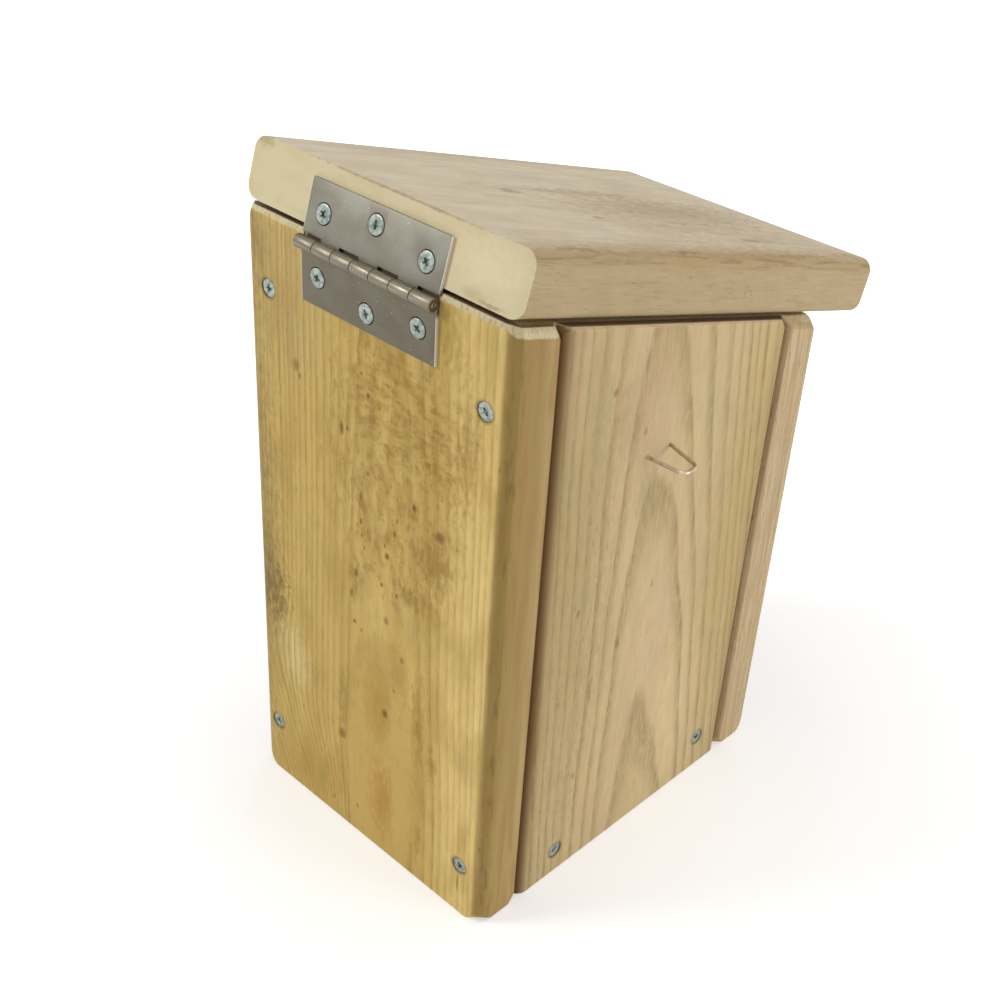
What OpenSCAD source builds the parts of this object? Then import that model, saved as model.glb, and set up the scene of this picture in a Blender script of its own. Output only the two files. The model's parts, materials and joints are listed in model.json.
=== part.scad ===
// Sparrow nest box. Planed board of one width and thickness makes the back, front, sides, floor
// and lid. Screws through the faces hold the box together, a steel butt hinge at the back carries
// the lid, and a wire staple in each side takes a hanging wire.
// X runs across the box, the front with the entrance faces -Y, and the box stands on Z = 0.

/* [Boards] */
// Width of the planed board
board_w = 150; // [130:1:200]
// Thickness of the planed board
board_t = 25; // [22:0.5:32]
// Radius of the eased long edges
edge_r = 6; // [1:0.5:8]
// Radius of the long edges on the inner faces of the back and front boards
inner_edge_r = 3; // [1:0.5:8]

/* [Box] */
// Height of the back board at its outer face
back_h = 295; // [260:1:400]
// Fall of the lid towards the front, in degrees
lid_slope = 16; // [8:0.5:22]
// Height of the floor's underside above the base
floor_up = 3; // [0.5:0.5:12]
// Gap round the floor board
floor_gap = 0.2; // [0.1:0.05:0.5]
// Depth of the bevel along the outer top edges of the back and front boards
bevel_d = 1.25; // [0.5:0.25:3]
// Height of that bevel
bevel_h = 2.5; // [1:0.25:6]
// Height of the cut across the outer top corners of the same boards
corner_h = 5; // [3:0.25:8]
// Height of the cut across their outer bottom corners
foot_h = 5.5; // [3:0.25:12]
// Height of the cuts across their inner corners
inner_corner_h = 5; // [3:0.25:8]
// Height of the cut across the outer top corners of the side boards
side_corner_h = 3.5; // [2:0.25:6]
// Bevel along the sloping top edges of the two sides
side_bevel = 1.2; // [0.4:0.1:2]

/* [Lid] */
// Length of the lid board down the slope
lid_l = 238; // [215:1:280]
// Gap between the lid and the top of the box
lid_gap = 1.5; // [0.5:0.1:3]

/* [Entrance and drain holes] */
// Diameter of the entrance hole
entrance_d = 32; // [25:1:45]
// Centre of the entrance below the top of the front board
entrance_down = 58; // [45:1:80]
// Diameter of the drain holes in the floor
drain_d = 8; // [5:0.5:10]
// Centre of the drain holes from the floor's ends
drain_in = 20; // [14:1:26]
// Centre of the drain holes from the nearer floor screw
drain_from_screw = 22; // [14:1:26]

/* [Hinge] */
// Length of the hinge
hinge_l = 75; // [60:1:90]
// Reach of each leaf from the axis of the pin
leaf_reach = 25; // [22:0.5:27]
// Thickness of the leaves
leaf_t = 1.4; // [1:0.1:1.8]
// Diameter of the pin
pin_d = 2.7; // [2.2:0.1:3.6]
// Running clearance round the pin, radial
pin_clear = 0.05; // [0.02:0.01:0.1]
// Room between the upper leaf and the top edge of the back board
relief_gap = 0.3; // [0.2:0.05:0.6]
// Gap between neighbouring knuckles
knuckle_gap = 0.3; // [0.2:0.05:0.6]
// Space between a knuckle and the leaf that is cut out for it
notch_gap = 0.9; // [0.5:0.1:1.5]
// Axis of the pin below the top of the back board
hinge_down = 4.3; // [3.8:0.1:10]
// Outer screw holes from the ends of the leaf
leaf_hole_in = 9.5; // [8:0.5:14]
// Outer screw holes from the axis of the pin
leaf_hole_near = 12.9; // [12:0.1:15]
// Middle screw hole from the axis of the pin
leaf_hole_far = 17.5; // [15:0.1:18]

/* [Screws] */
// Diameter over the thread
screw_d = 4; // [3:0.1:4.5]
// Diameter of the countersunk head
head_d = 8; // [7:0.1:8.6]
// Length of the screws in the boards
box_screw_l = 50; // [40:1:55]
// Length of the screws in the hinge
hinge_screw_l = 20; // [14:1:21]
// Clearance round the screws
screw_gap = 0.05; // [0.02:0.01:0.15]
// Depth of the board screws' heads below the face
head_sunk = 0.3; // [0:0.05:0.8]
// Height of the hinge screws' heads above the leaf
head_proud = 0.3; // [0:0.05:0.6]
// Lower screws above the base
low_screw_up = 30; // [26:1:45]
// Upper screws below the top of their board
top_screw_down = 37; // [32:1:60]
// Floor screws from the edges of the side board
floor_screw_in = 22.5; // [16:0.5:30]

/* [Staples] */
// Diameter of the wire
wire_d = 1.6; // [1.2:0.1:2.2]
// Spread of the legs where they enter the board
staple_spread = 15; // [12:0.5:18]
// Width of the crown
staple_crown = 8.8; // [7:0.2:11]
// Radius of the two bends
staple_bend = 3.3; // [1.5:0.1:3.4]
// Reach of the crown from the board
staple_out = 16.8; // [12:0.2:20]
// Length of each leg in the board
staple_in = 16; // [10:0.5:19]
// Droop of the staple below level, in degrees
staple_droop = 6; // [0:1:20]
// Staple from the back face
staple_from_back = 90.5; // [60:0.5:110]
// Staple below the sloping top of the side board
staple_down = 57; // [40:0.5:90]
// Clearance round the staple's legs
staple_gap = 0.03; // [0.02:0.01:0.1]

/* [Hidden] */
$fn = 64;
// Reach of cutting solids past what they cut
past = 1;

// Planed boards: the sides fill the width of a board between back and front
inner_w = board_w - 2 * board_t;
inner_d = board_w;
box_d = inner_d + 2 * board_t;
box_fall = box_d * tan(lid_slope);
board_fall = board_t * tan(lid_slope);
front_h = back_h - box_fall;

// Hinge: the barrel stands on the back planes of both leaves
pin_r = pin_d / 2;
barrel_r = pin_r + leaf_t;
knuckles = 7;
knuckle_l = hinge_l / knuckles;
notch_h = barrel_r + notch_gap;
pin_dome = 0.3;

// Heights above the pin's axis, square to the slope: the box's top and the lid's underside
top_up = barrel_r * sin(lid_slope) + hinge_down * cos(lid_slope);
lid_up = top_up + lid_gap;

// The origin is under the middle of the whole, lid and hinge barrel included
lid_reach = (barrel_r + lid_l) * cos(lid_slope) + (lid_up + board_t) * sin(lid_slope);
axis_y = (lid_reach - barrel_r) / 2;
axis_z = back_h - hinge_down;
back_y = axis_y - barrel_r;
front_y = back_y - box_d;
middle_y = back_y - box_d / 2;

// Screws: marks on the boards, and how far each hand-driven screw stands off its mark
screw_r = screw_d / 2;
core_r = 0.65 * screw_r;
head_r = head_d / 2;
head_rim = 0.25;
thread_pitch = 1.8;
tip_l = 4;
recess_w = 0.29 * head_r;
recess_l = 0.6 * head_d;
recess_d = 0.42 * head_r;
edge_x = board_w / 2 - board_t / 2;
floor_z = floor_up + board_t / 2;
floor_screw_y = inner_d / 2 - floor_screw_in;
corners = [[1, 1], [-1, 1], [1, 0], [-1, 0]];
back_drift = [[-1.8, 3.5], [0.2, -0.5], [1.7, 0.6], [0.9, -1.5]];
front_drift = [[0.8, -1.5], [-1.2, 0.7], [-0.6, 1.4], [1.3, 0.5]];
floor_drift = [[-2, -2], [-2.6, 3.2]];
turn_step = 37;

// Hinge screw holes: left, middle, right, as distances along the barrel and from its axis
leaf_hole_x = hinge_l / 2 - leaf_hole_in;
leaf_holes = [[leaf_hole_x, leaf_hole_near], [0, leaf_hole_far], [-leaf_hole_x, leaf_hole_near]];

// Staple: its legs close in from the board to the crown
wire_r = wire_d / 2;
leg_lean = atan((staple_spread - staple_crown) / 2 / staple_out);
bend_run = staple_bend * tan((90 - leg_lean) / 2);
staple_y = back_y - staple_from_back;
staple_z = back_h - staple_from_back * tan(lid_slope) - staple_down;
wire_tip = 2.5;
// A bead this much thicker than the wire closes the joint between leg and bend
bead = 0.02;

// Height of the first board screw row and the second, for a board of height h
function screw_z(h, top) = top ? h - top_screw_down : low_screw_up;

// Section of the planed board with its four eased edges: those towards -Y have radius low_r
module board_section(w, t, low_r = edge_r) {
    low = low_r - t / 2;
    high = t / 2 - edge_r;
    translate([-w / 2, low]) square([w, high - low]);
    translate([edge_r - w / 2, low]) square([w - 2 * edge_r, t / 2 - low]);
    translate([low_r - w / 2, -t / 2]) square([w - 2 * low_r, high + t / 2]);
    for (m = [0, 1]) mirror([m, 0]) {
        translate([w / 2 - edge_r, high]) circle(edge_r);
        translate([w / 2 - low_r, low]) circle(low_r);
    }
}

// Frame of the lid: its X axis is the pin's, its Y axis square to the lid's back end
module lid_frame() {
    translate([0, axis_y, axis_z]) rotate([lid_slope, 0, 0]) children();
}

// All that lies above the sloping top of the box
module above_top() {
    lid_frame() translate([-board_w, -2 * box_d, top_up]) cube([2 * board_w, 3 * box_d, back_h]);
}

// Bevels of depth d and height h along the sloping top edges of both sides
module side_bevels(d, h) {
    for (m = [0, 1]) mirror([m, 0, 0])
        lid_frame() translate([board_w / 2, box_d, top_up]) rotate([90, 0, 0])
            linear_extrude(3 * box_d)
                polygon([[-d, 0], [past, past], [past, -h], [0, -h]]);
}

// Bevel across the outer top edge of an upright board: its outer face is at y, facing out to
// +Y (out = 1) or -Y (out = -1), and the sloping top meets that face at height h
module end_bevel(y, out, h) {
    run = out * bevel_d * tan(lid_slope);
    translate([-board_w, y, h]) mirror([0, out > 0 ? 0 : 1, 0]) rotate([90, 0, 90])
        linear_extrude(2 * board_w)
            polygon([[0, -bevel_h], [-bevel_d, -run], [0, past], [past, past], [past, -bevel_h]]);
}

// Cuts across both corners at a face of an upright board, where its edges have radius r, as
// steep as the bevel: from height h up (up = 1) or down (up = -1)
module corner_cuts(y, out, r, h, up) {
    for (m = [0, 1]) mirror([m, 0, 0])
        translate([board_w / 2 - r, y - out * r, h])
            rotate([0, 0, out * 45]) translate([r, 0, 0]) mirror([0, 0, up > 0 ? 0 : 1])
                rotate([0, -atan(bevel_d / bevel_h), 0])
                    translate([0, -board_t, 0]) cube([board_t, 2 * board_t, board_t]);
}

// Room for the upper leaf behind the barrel: a plane along the leaf takes off the back board's
// top edge over the length of the hinge
module hinge_relief() {
    length = hinge_l + 2 * relief_gap;
    lid_frame() translate([-length / 2, -barrel_r - relief_gap, -barrel_r])
        cube([length, 2 * barrel_r, leaf_reach]);
}

// Half section of a screw, head at the top: plain under the head, ridged below, pointed
function screw_outline(l, plain, ridges) = concat(
    [[0, 0], [head_r, 0], [head_r, -head_rim], [screw_r, -head_rim - head_r + screw_r]],
    [[screw_r, -plain], [core_r, -plain - thread_pitch / 2]],
    [for (i = [1:ridges], k = [0, 1]) k == 0
        ? [screw_r, -plain - i * thread_pitch] : [core_r, -plain - (i + 0.5) * thread_pitch]],
    [[core_r, -l + tip_l], [0, -l]]
);

// Screw along Z with its head's face at Z = 0 and a cross recess, turned by hand
module screw(l, turn) {
    plain = l / 3;
    ridges = floor((l - tip_l - plain) / thread_pitch - 0.6);
    difference() {
        rotate_extrude() polygon(screw_outline(l, plain, ridges));
        for (a = [0, 90]) rotate([0, 0, turn + a])
            translate([-recess_l / 2, -recess_w / 2, -recess_d])
                cube([recess_l, recess_w, recess_d + past]);
    }
}

// Hole that the same screw stands in, open above its head
module screw_hole(l) {
    r = screw_r + screw_gap;
    R = head_r + screw_gap;
    translate([0, 0, -l - screw_gap]) cylinder(r = r, h = l);
    translate([0, 0, -head_rim - R + r]) cylinder(r1 = r, r2 = R, h = R - r);
    translate([0, 0, -head_rim]) cylinder(r = R, h = head_rim + head_sunk + past);
}

// Places of the screws: each takes the solid or the hole, with +Z out of the wood
module at_back(i) {
    c = corners[i];
    x = c[0] * edge_x + back_drift[i][0];
    z = screw_z(back_h, c[1] == 1) + back_drift[i][1];
    translate([x, back_y - head_sunk, z]) rotate([-90, 0, 0]) children();
}

module at_front(i) {
    c = corners[i];
    x = c[0] * edge_x + front_drift[i][0];
    z = screw_z(front_h, c[1] == 1) + front_drift[i][1];
    translate([x, front_y + head_sunk, z]) rotate([90, 0, 0]) children();
}

module at_floor(i, side) {
    y = middle_y + (i == 0 ? 1 : -1) * floor_screw_y + floor_drift[i][0];
    z = floor_z + floor_drift[i][1];
    translate([side * (board_w / 2 - head_sunk), y, z]) rotate([0, side * 90, 0]) children();
}

module at_lower_leaf(i) {
    h = leaf_holes[i];
    translate([h[0], back_y + leaf_t + head_proud, axis_z - h[1]]) rotate([-90, 0, 0]) children();
}

module at_upper_leaf(i) {
    h = leaf_holes[i];
    lid_frame() translate([h[0], leaf_t - barrel_r + head_proud, h[1]])
        rotate([-90, 0, 0]) children();
}

// Round rod between two points of the XY plane
module rod(p, q, r) {
    d = q - p;
    translate([p[0], p[1], 0]) rotate([0, 0, atan2(d[1], d[0])]) rotate([0, 90, 0])
        cylinder(r = r, h = norm(d));
}

// One leg of a staple in the XY plane, from its point in the wood to the first bend
module staple_leg(r) {
    lean = [sin(leg_lean), cos(leg_lean)];
    start = [-staple_spread / 2, 0] - staple_in / cos(leg_lean) * lean;
    bend = [-staple_crown / 2, staple_out] - bend_run * lean;
    rod(start, bend, r);
    translate([start[0], start[1], 0]) rotate([0, 0, -leg_lean]) rotate([90, 0, 0])
        cylinder(r1 = r, r2 = r / 4, h = wire_tip);
}

// Staple in the XY plane: the board's face is at Y = 0, the crown lies towards +Y
module staple() {
    bend_x = staple_crown / 2 - bend_run;
    for (m = [0, 1]) mirror([m, 0, 0]) {
        staple_leg(wire_r);
        translate([-bend_x, staple_out - staple_bend, 0]) {
            rotate([0, 0, 90]) rotate_extrude(angle = 90 - leg_lean)
                translate([staple_bend, 0]) circle(wire_r);
            rotate([0, 0, 180 - leg_lean]) translate([staple_bend, 0, 0]) sphere(wire_r + bead);
        }
    }
    rod([-bend_x, staple_out], [bend_x, staple_out], wire_r);
}

// Place of a staple on the left side, or mirrored on the right
module at_side(right) {
    mirror([right ? 1 : 0, 0, 0]) translate([-board_w / 2, staple_y, staple_z])
        rotate([0, -staple_droop, 0]) rotate([0, 0, 90]) children();
}

// Back or front board with its outer face at y, facing out to +Y (out = 1) or -Y (out = -1),
// where it is top high: the edges and corners are eased, and the holes are still to come
module upright(y, out, top) {
    inner_y = y - out * board_t;
    inner_top = top - out * board_fall;
    difference() {
        translate([0, (y + inner_y) / 2, 0]) rotate([0, 0, out > 0 ? 0 : 180])
            linear_extrude(back_h + past) board_section(board_w, board_t, inner_edge_r);
        above_top();
        side_bevels(bevel_d, bevel_h);
        end_bevel(y, out, top);
        corner_cuts(y, out, edge_r, top - corner_h, 1);
        corner_cuts(y, out, edge_r, foot_h, -1);
        corner_cuts(inner_y, -out, inner_edge_r, inner_top - inner_corner_h, 1);
        corner_cuts(inner_y, -out, inner_edge_r, inner_corner_h, -1);
    }
}

module back_board() {
    color("#c8ab68") difference() {
        upright(back_y, 1, back_h);
        hinge_relief();
        for (i = [0:3]) at_back(i) screw_hole(box_screw_l);
        for (i = [0:2]) at_lower_leaf(i) screw_hole(hinge_screw_l);
    }
}

module front_board() {
    color("#cbb27c") difference() {
        upright(front_y, -1, front_h);
        for (i = [0:3]) at_front(i) screw_hole(box_screw_l);
        translate([0, front_y - past, front_h - entrance_down]) rotate([-90, 0, 0])
            cylinder(d = entrance_d, h = board_t + 2 * past);
    }
}

// Side board between the back and front boards, on the left or the right
module side_board(side) {
    difference() {
        translate([side * (board_w - board_t) / 2, middle_y, 0]) rotate([0, 0, 90])
            linear_extrude(back_h) board_section(inner_d, board_t);
        above_top();
        side_bevels(side_bevel, side_bevel);
        corner_cuts(back_y - board_t, 1, edge_r, back_h - board_fall - side_corner_h, 1);
        corner_cuts(front_y + board_t, -1, edge_r, front_h + board_fall - side_corner_h, 1);
        for (i = [0:3]) {
            at_back(i) screw_hole(box_screw_l);
            at_front(i) screw_hole(box_screw_l);
        }
        for (i = [0:1]) at_floor(i, side) screw_hole(box_screw_l);
        at_side(side > 0) for (m = [0, 1]) mirror([m, 0, 0]) staple_leg(wire_r + staple_gap);
    }
}

module side_board_left() {
    color("#ceb48a") side_board(-1);
}

module side_board_right() {
    color("#ceb48a") side_board(1);
}

module floor_board() {
    length = inner_w - 2 * floor_gap;
    width = inner_d - 2 * floor_gap;
    drain_x = inner_w / 2 - drain_in;
    drain_y = floor_screw_y - drain_from_screw;
    color("#c9b382") difference() {
        translate([-length / 2, middle_y, floor_z]) rotate([90, 0, 90])
            linear_extrude(length) board_section(width, board_t);
        for (side = [-1, 1], i = [0:1]) at_floor(i, side) screw_hole(box_screw_l);
        for (sx = [-1, 1], sy = [-1, 1])
            translate([sx * drain_x, middle_y + sy * drain_y, floor_up - past])
                cylinder(d = drain_d, h = board_t + 2 * past);
    }
}

module roof_board() {
    color("#d3c299") difference() {
        lid_frame() translate([0, -barrel_r, lid_up + board_t / 2]) rotate([90, 0, 0])
            linear_extrude(lid_l) board_section(board_w, board_t);
        for (i = [0:2]) at_upper_leaf(i) screw_hole(hinge_screw_l);
    }
}

// Leaf of the hinge about its own axis: plate towards +Z, back plane at Y = -barrel_r.
// The knuckles from first on, every second one, roll round a bore of the given radius.
module leaf(first, bore_r) {
    difference() {
        union() {
            translate([-hinge_l / 2, -barrel_r, notch_h])
                cube([hinge_l, leaf_t, leaf_reach - notch_h]);
            for (k = [first:2:knuckles - 1]) {
                x0 = -hinge_l / 2 + k * knuckle_l + (k == 0 ? 0 : knuckle_gap / 2);
                x1 = -hinge_l / 2 + (k + 1) * knuckle_l
                    - (k == knuckles - 1 ? 0 : knuckle_gap / 2);
                translate([x0, 0, 0]) rotate([0, 90, 0]) cylinder(r = barrel_r, h = x1 - x0);
                translate([x0, -barrel_r, 0]) cube([x1 - x0, leaf_t, notch_h + past]);
            }
        }
        translate([-hinge_l, 0, 0]) rotate([0, 90, 0]) cylinder(r = bore_r, h = 2 * hinge_l);
    }
}

module hinge_lower_leaf() {
    color("#77716a") difference() {
        translate([0, axis_y, axis_z]) mirror([0, 0, 1]) leaf(0, pin_r);
        for (i = [0:2]) at_lower_leaf(i) screw_hole(hinge_screw_l);
    }
}

module hinge_upper_leaf() {
    color("#9c988e") difference() {
        lid_frame() leaf(1, pin_r + pin_clear);
        for (i = [0:2]) at_upper_leaf(i) screw_hole(hinge_screw_l);
    }
}

// Pin with a low dome at each end
module hinge_pin() {
    half = hinge_l / 2;
    color("#8d8880") translate([0, axis_y, axis_z]) rotate([0, 90, 0]) {
        translate([0, 0, -half]) cylinder(r = pin_r, h = hinge_l);
        for (m = [0, 1]) mirror([0, 0, m])
            translate([0, 0, half]) cylinder(r1 = pin_r, r2 = pin_r / 2, h = pin_dome);
    }
}

module back_screw(i) {
    color("#b9c6c8") at_back(i) screw(box_screw_l, i * turn_step);
}

module front_screw(i) {
    color("#b9c6c8") at_front(i) screw(box_screw_l, i * turn_step);
}

module floor_screw(i, side) {
    color("#b9c6c8") at_floor(i, side) screw(box_screw_l, (i + 1) * turn_step);
}

module hinge_lower_screw(i) {
    color("#b9c6c8") at_lower_leaf(i) screw(hinge_screw_l, (i + 2) * turn_step);
}

module hinge_upper_screw(i) {
    color("#b9c6c8") at_upper_leaf(i) screw(hinge_screw_l, (i + 4) * turn_step);
}

module wire_staple_left() {
    color("#c9c2b4") at_side(false) staple();
}

module wire_staple_right() {
    color("#c9c2b4") at_side(true) staple();
}

back_board();
front_board();
side_board_left();
side_board_right();
floor_board();
roof_board();
hinge_lower_leaf();
hinge_upper_leaf();
hinge_pin();
wire_staple_left();
wire_staple_right();
for (i = [0:2]) hinge_lower_screw(i);
for (i = [0:2]) hinge_upper_screw(i);
for (i = [0:3]) back_screw(i);
for (i = [0:3]) front_screw(i);
for (i = [0:1]) floor_screw(i, -1);
for (i = [0:1]) floor_screw(i, 1);
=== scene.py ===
import json
import math

import bmesh
import bpy
from mathutils import Matrix, Vector


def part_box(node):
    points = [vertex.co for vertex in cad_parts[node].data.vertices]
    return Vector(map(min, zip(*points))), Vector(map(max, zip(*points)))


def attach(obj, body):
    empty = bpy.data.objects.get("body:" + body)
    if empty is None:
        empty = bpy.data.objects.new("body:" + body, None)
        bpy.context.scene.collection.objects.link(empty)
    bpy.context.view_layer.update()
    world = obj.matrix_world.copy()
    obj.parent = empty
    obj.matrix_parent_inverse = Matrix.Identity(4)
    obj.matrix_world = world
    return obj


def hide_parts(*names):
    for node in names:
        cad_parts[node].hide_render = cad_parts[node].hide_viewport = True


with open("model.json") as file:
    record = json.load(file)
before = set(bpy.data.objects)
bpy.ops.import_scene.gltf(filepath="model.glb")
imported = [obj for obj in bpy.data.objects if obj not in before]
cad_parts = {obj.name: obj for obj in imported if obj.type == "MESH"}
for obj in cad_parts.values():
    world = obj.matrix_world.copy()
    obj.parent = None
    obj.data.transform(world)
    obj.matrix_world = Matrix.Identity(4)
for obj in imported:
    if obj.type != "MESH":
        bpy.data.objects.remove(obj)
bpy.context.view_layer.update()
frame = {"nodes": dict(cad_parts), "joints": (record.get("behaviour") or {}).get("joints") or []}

MM = 0.001

# Camera: stands behind the box and to its left, looks down on the hinge, and is tilted a little
camera_data = bpy.data.cameras.new("camera")
camera_data.lens = 52.469
camera_data.sensor_width = 36.0
camera = bpy.data.objects.new("camera", camera_data)
bpy.context.collection.objects.link(camera)
camera_right = Vector((-0.71458556, -0.69749992, 0.0534915))
camera_up = Vector((0.41014963, -0.35579546, 0.83975405))
camera_back = camera_right.cross(camera_up)
camera_turn = Matrix((camera_right, camera_up, camera_back)).transposed()
camera.matrix_world = Matrix.Translation((-0.371904, 0.444902, 0.511013)) @ camera_turn.to_4x4()
bpy.context.scene.camera = camera


# Studio: a pale floor that shows white to the camera and keeps the shadow, a white world, and
# soft lamps: a large key behind the box, a fill from its left side and one overhead
def add_node(tree, kind, inputs=None, **settings):
    """Adds a node; inputs maps socket names or numbers to values or to other nodes' outputs"""
    made = tree.nodes.new("ShaderNode" + kind)
    for name, value in settings.items():
        setattr(made, name, value)
    for key, value in (inputs or {}).items():
        if isinstance(value, bpy.types.NodeSocket):
            tree.links.new(value, made.inputs[key])
        else:
            made.inputs[key].default_value = value
    return made


def tree_of(*values):
    """The node tree of the first socket among these values"""
    return next(value.id_data for value in values if isinstance(value, bpy.types.NodeSocket))


def calculate(operation, a, b=0.0, c=0.0, clamp=False):
    """Output of a Math node"""
    made = add_node(tree_of(a, b, c), "Math", {0: a, 1: b, 2: c}, operation=operation, use_clamp=clamp)
    return made.outputs[0]


def times(a, b, clamp=False):
    """Output of a Math node that multiplies"""
    return calculate("MULTIPLY", a, b, clamp=clamp)


def length_of(vector):
    """Length of a vector"""
    return add_node(vector.id_data, "VectorMath", {0: vector}, operation="LENGTH").outputs["Value"]


def seen_directly(tree):
    """1 for camera, glossy and transmission rays, 0 for the rays that light the object"""
    path = add_node(tree, "LightPath").outputs
    shiny = calculate("MAXIMUM", path["Is Glossy Ray"], path["Is Transmission Ray"])
    return calculate("MAXIMUM", path["Is Camera Ray"], shiny)


def start_material(name):
    """A material with an empty node tree and its output node"""
    material = bpy.data.materials.new(name)
    material.use_nodes = True
    tree = material.node_tree
    tree.nodes.clear()
    return material, tree, add_node(tree, "OutputMaterial")


FLOOR_SIDE = 12.0
bpy.ops.mesh.primitive_plane_add(size=FLOOR_SIDE, location=(0, 0, -0.2 * MM))
floor = bpy.context.object
floor.name = "floor"
floor_paint, tree, surface = start_material("floor_paint")
paint = add_node(tree, "BsdfDiffuse", {"Color": (0.86, 0.86, 0.86, 1)})
here = add_node(tree, "TexCoord").outputs["Object"]
limits = {"From Min": 0.15, "From Max": 0.8, "To Min": 0.42, "To Max": 0.9}
whiter = add_node(tree, "MapRange", {"Value": length_of(here), **limits})
strength = times(seen_directly(tree), whiter.outputs[0])
glow = add_node(tree, "Emission", {"Strength": strength})
lit = add_node(tree, "AddShader", {0: paint.outputs[0], 1: glow.outputs[0]})
tree.links.new(lit.outputs[0], surface.inputs["Surface"])
floor.data.materials.append(floor_paint)

world = bpy.data.worlds.new("studio")
world.use_nodes = True
tree = world.node_tree
tree.nodes.clear()
AMBIENT = 0.3
shown = calculate("MULTIPLY_ADD", seen_directly(tree), 1 - AMBIENT, AMBIENT)
sky = add_node(tree, "Background", {"Color": (1, 1, 1, 1), "Strength": shown})
surface = add_node(tree, "OutputWorld", {"Surface": sky.outputs[0]})
bpy.context.scene.world = world
bpy.context.scene.view_settings.view_transform = "Standard"

LAMP_AIM = Vector((0.0, 0.0, 0.15))
for name, place, size, watts in (
    ("key_lamp", (1.15, 1.45, 1.35), 0.8, 18.0),
    ("side_lamp", (-1.2, -0.35, 0.25), 0.6, 5.6),
    ("top_lamp", (-0.1, -0.3, 2.0), 1.2, 9.5),
):
    bpy.ops.object.light_add(type="AREA", location=place)
    lamp = bpy.context.object
    lamp.name = name
    lamp.data.shape = "DISK"
    lamp.data.size = size
    lamp.data.energy = watts
    lamp.rotation_euler = (LAMP_AIM - Vector(place)).to_track_quat("-Z", "Y").to_euler()
bpy.ops.object.select_all(action="DESELECT")


# Back board: planed pressure-treated softwood, yellow to olive. Its rings stand close on the left,
# arch up a mottled middle, and swing round a knot that was cut away beside the lower left edge.
def mix_colours(factor, a, b, mode="MIX"):
    """Output of a Mix node set to colours"""
    tree = tree_of(factor, a, b)
    return add_node(tree, "Mix", {0: factor, 6: a, 7: b}, data_type="RGBA", blend_type=mode).outputs[2]


def vector_math(operation, a, b):
    """Output of a Vector Math node"""
    return add_node(tree_of(a, b), "VectorMath", {0: a, 1: b}, operation=operation).outputs[0]


def parts_of(vector):
    """The X, Y and Z of a vector"""
    return add_node(vector.id_data, "SeparateXYZ", {0: vector}).outputs


def scatter(place, stretch, detail=2.0, shift=0.0):
    """Noise of 0 to 1 at a place in millimetres, its grains stretch millimetres long on each axis"""
    inputs = {"Vector": vector_math("DIVIDE", place, stretch), "W": shift, "Scale": 1.0, "Detail": detail}
    return add_node(place.id_data, "TexNoise", inputs, noise_dimensions="4D").outputs["Fac"]


def remap(value, low, high, new_low=0.0, new_high=1.0, kind="SMOOTHSTEP"):
    """Output of a Map Range node"""
    made = add_node(
        value.id_data, "MapRange",
        {"Value": value, "From Min": low, "From Max": high, "To Min": new_low, "To Max": new_high},
        interpolation_type=kind,
    )
    return made.outputs[0]


def start_group(name, inputs, outputs):
    """A node group and the sockets of its input and output nodes, which are listed by their kind"""
    group = bpy.data.node_groups.new(name, "ShaderNodeTree")
    for side, sockets in (("INPUT", inputs), ("OUTPUT", outputs)):
        for kind, labels in sockets.items():
            for label in labels.split():
                group.interface.new_socket(label, in_out=side, socket_type="NodeSocket" + kind)
    return group, group.nodes.new("NodeGroupInput").outputs, group.nodes.new("NodeGroupOutput").inputs


def sample(red, green, blue):
    """Colour as a node takes it, from the red, green and blue of 0 to 255 that the eye sees"""
    steps = [value / 255 for value in (red, green, blue)]
    return tuple(s / 12.92 if s < 0.04045 else ((s + 0.055) / 1.055) ** 2.4 for s in steps) + (1.0,)


# Places on a board are (u, v, w) in millimetres: u across its width, v through its thickness
# towards the outer face, w along the grain. A mark is a soft or ragged spot with such a centre.
mark_group, given, result = start_group(
    "mark", {"Vector": "Place Centre Size", "Float": "Uneven Soft Ragged"}, {"Float": "Mask"},
)
apart = vector_math("SUBTRACT", given["Place"], given["Centre"])
reach = length_of(vector_math("DIVIDE", apart, given["Size"]))
reach = calculate("MULTIPLY_ADD", given["Uneven"], given["Ragged"], reach)
inside = calculate("DIVIDE", calculate("SUBTRACT", 1.0, reach), given["Soft"])
mark_group.links.new(remap(inside, 0.0, 1.0), result["Mask"])

wood_group, given, result = start_group(
    "planed_softwood",
    {"Vector": "Place Heart Lean", "Color": "Early Late Stain",
     "Float": "Seed Ring Phase Wander Push Lines Narrow Stained Flecks"},
    {"Color": "Color", "Float": "Roughness Height"},
)
tree = wood_group
place = given["Place"]
seed = given["Seed"]
leaned = vector_math("MULTIPLY", given["Lean"], parts_of(place)["Z"])
from_heart = vector_math("SUBTRACT", place, vector_math("ADD", given["Heart"], leaned))
radius = length_of(vector_math("MULTIPLY", from_heart, (1, 1, 0)))
broad = calculate("SUBTRACT", scatter(place, (40, 40, 130), 1.0, seed), 0.5)
narrow = calculate("SUBTRACT", scatter(place, (8, 8, 36), 2.0, seed), 0.5)
radius = calculate("MULTIPLY_ADD", broad, times(given["Wander"], 6.0), radius)
radius = calculate("MULTIPLY_ADD", narrow, given["Wander"], radius)
radius = calculate("ADD", radius, given["Push"])
ring = calculate("ADD", calculate("DIVIDE", radius, given["Ring"]), given["Phase"])
uneven = add_node(tree, "TexNoise", {"W": times(ring, 0.37), "Scale": 1.0}, noise_dimensions="1D")
ring = calculate("MULTIPLY_ADD", uneven.outputs["Fac"], 0.9, ring)
phase = calculate("FRACT", ring)
year = add_node(tree, "TexWhiteNoise", {"W": calculate("FLOOR", ring)}, noise_dimensions="1D")
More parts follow.
